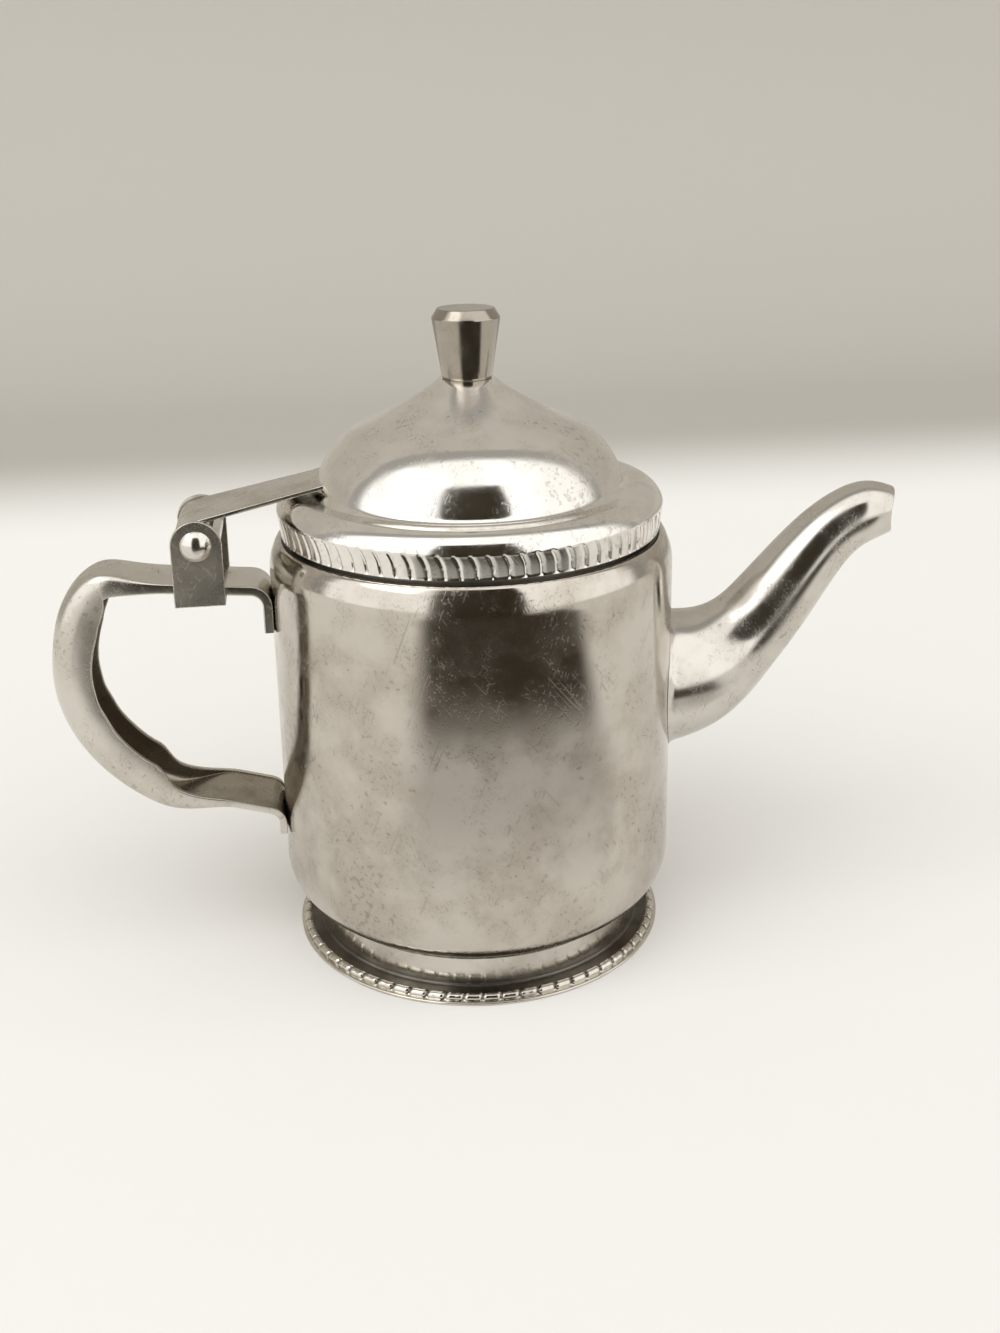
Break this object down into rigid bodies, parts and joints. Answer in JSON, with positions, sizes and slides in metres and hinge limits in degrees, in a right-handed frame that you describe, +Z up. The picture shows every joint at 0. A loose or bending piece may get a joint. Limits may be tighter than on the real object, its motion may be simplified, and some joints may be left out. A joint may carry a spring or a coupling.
{
  "type": "creamer",
  "caption": "Small stainless serving creamer: straight spun pot on a beaded foot, curved spout, pressed strap handle and a domed gadroon-rimmed lid hinged over the handle.",
  "frame": {"origin": "on the pot's axis at table height, the centre of the foot rim's underside", "axes": "+Z up, +X towards the spout, handle at -X"},
  "size_m": [0.1537, 0.072, 0.1154],
  "materials": {
    "pot_steel": "worn polished",
    "foot_steel": "worn polished",
    "spout_steel": "worn polished",
    "handle_steel": "worn polished",
    "strap_steel": "worn polished",
    "rivet_steel": "worn polished",
    "arm_steel": "worn polished",
    "lid_steel": "worn polished",
    "bezel_steel": "worn polished",
    "knob_steel": "worn polished",
    "screw_steel": "worn polished"
  },
  "bodies": {
    "pot": {"body_shell": "pot_steel", "foot_ring": "foot_steel", "spout": "spout_steel", "handle": "handle_steel", "hinge_strap": "strap_steel", "hinge_rivet": "rivet_steel"},
    "lid": {"lid_arm": "arm_steel", "lid_shell": "lid_steel", "lid_bezel": "bezel_steel", "knob": "knob_steel", "knob_screw": "screw_steel"}
  },
  "joints": [
    {"name": "lid_hinge", "type": "hinge", "parent": "pot", "child": "lid", "pos_m": [-0.04775, 0, 0.07818], "axis": [0, -1, 0], "range_deg": [0, 160]}
  ]
}
